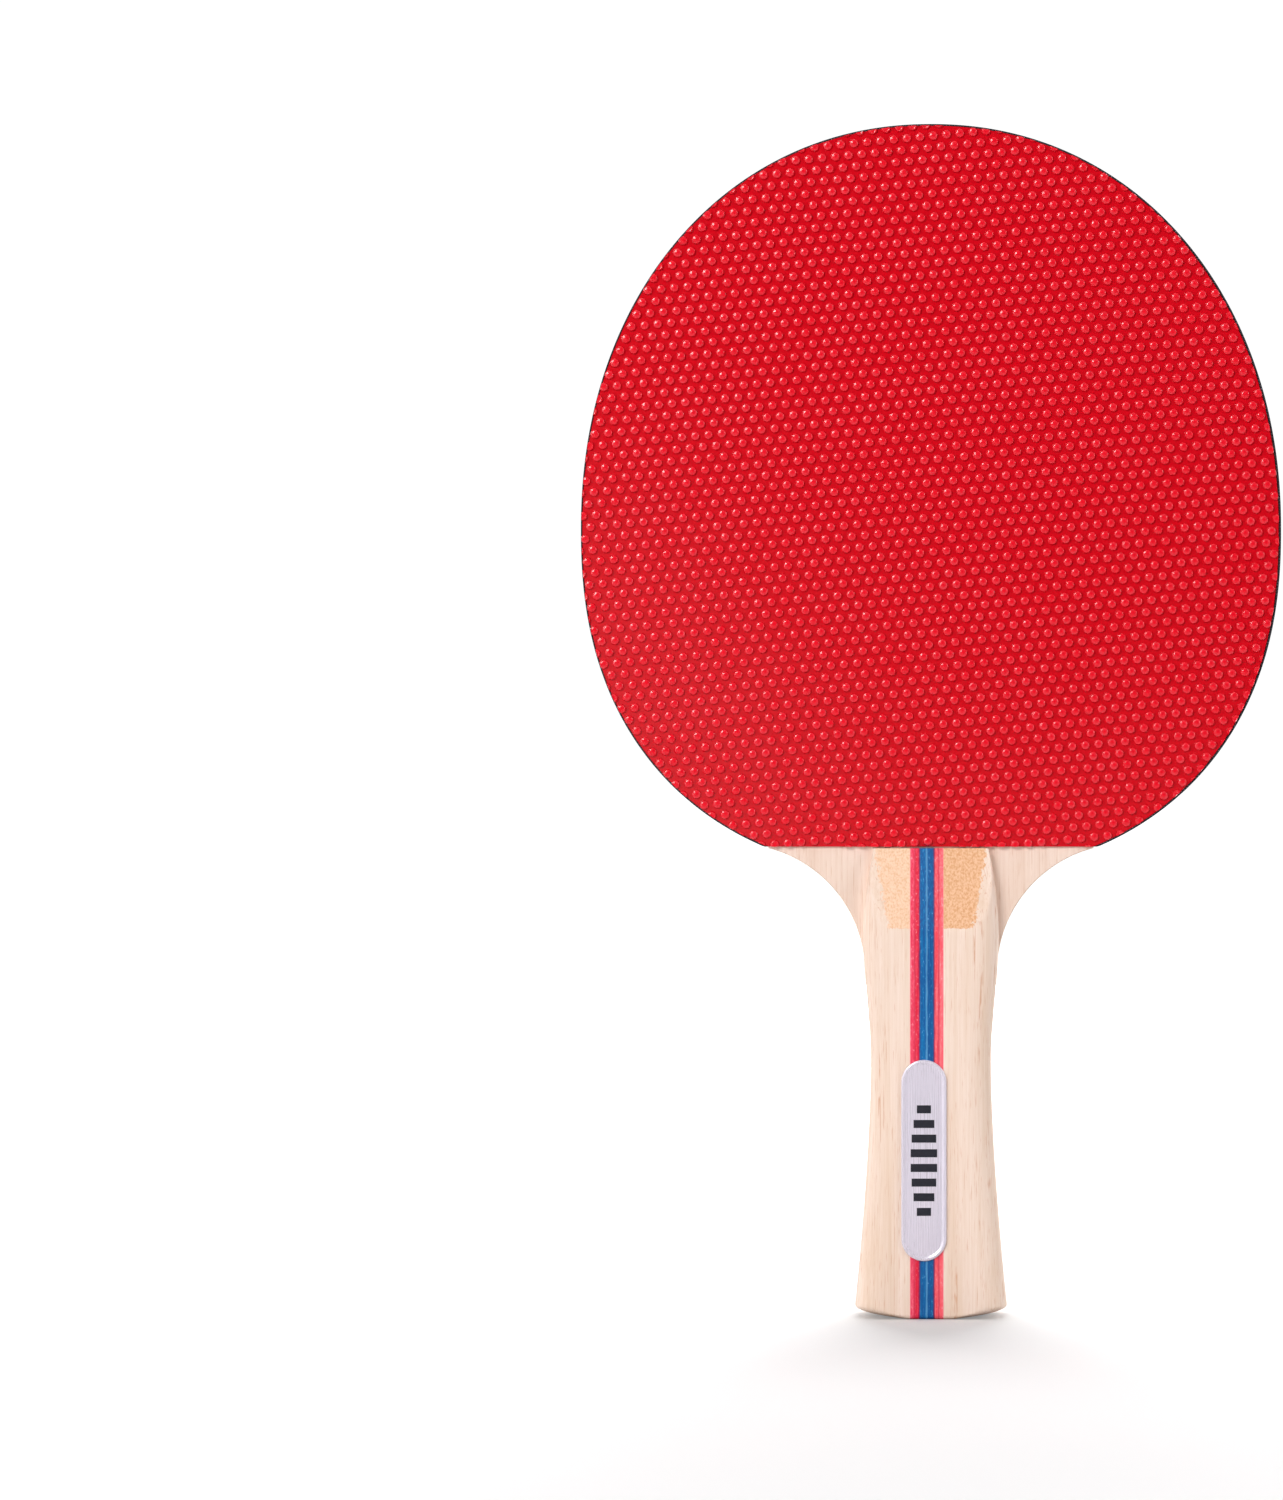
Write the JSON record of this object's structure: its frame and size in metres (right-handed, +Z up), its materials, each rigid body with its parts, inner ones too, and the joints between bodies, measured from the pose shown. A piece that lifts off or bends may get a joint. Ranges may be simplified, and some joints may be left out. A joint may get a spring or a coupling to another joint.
{
  "type": "table tennis paddle",
  "caption": "Table tennis paddle: plywood blade, pimpled rubber on both faces, woven edge tape, flared handle of laminated scales with a badge.",
  "frame": {"origin": "middle of the flat butt end of the handle", "axes": "+Z up the handle to the tip of the blade, +X across the blade, -Y out of the front (red) face; the middle plane of the blade is Y = 0"},
  "size_m": [0.1492, 0.0196, 0.254],
  "materials": {
    "face_ply": "satin",
    "cross_ply": "sawn edge",
    "core_ply": "sawn edge",
    "handle_wood": "satin",
    "red_veneer": "dyed, satin",
    "blue_veneer": "dyed, satin",
    "red_rubber": "satin",
    "blue_rubber": "satin",
    "edge_tape": "woven, matt",
    "badge": "satin"
  },
  "bodies": {
    "root": {"face_ply_front": "face_ply", "cross_ply_front": "cross_ply", "core_ply": "core_ply", "cross_ply_rear": "cross_ply", "face_ply_rear": "face_ply", "rubber_front": "red_rubber", "rubber_rear": "blue_rubber", "edge_tape": "edge_tape", "front_wood_block_left": "handle_wood", "front_red_veneer_1": "red_veneer", "front_red_veneer_2": "red_veneer", "front_blue_veneer_1": "blue_veneer", "front_blue_veneer_2": "blue_veneer", "front_red_veneer_3": "red_veneer", "front_red_veneer_4": "red_veneer", "front_wood_block_right": "handle_wood", "rear_wood_block_left": "handle_wood", "rear_red_veneer_1": "red_veneer", "rear_red_veneer_2": "red_veneer", "rear_blue_veneer_1": "blue_veneer", "rear_blue_veneer_2": "blue_veneer", "rear_red_veneer_3": "red_veneer", "rear_red_veneer_4": "red_veneer", "rear_wood_block_right": "handle_wood", "badge": "badge"}
  },
  "joints": []
}
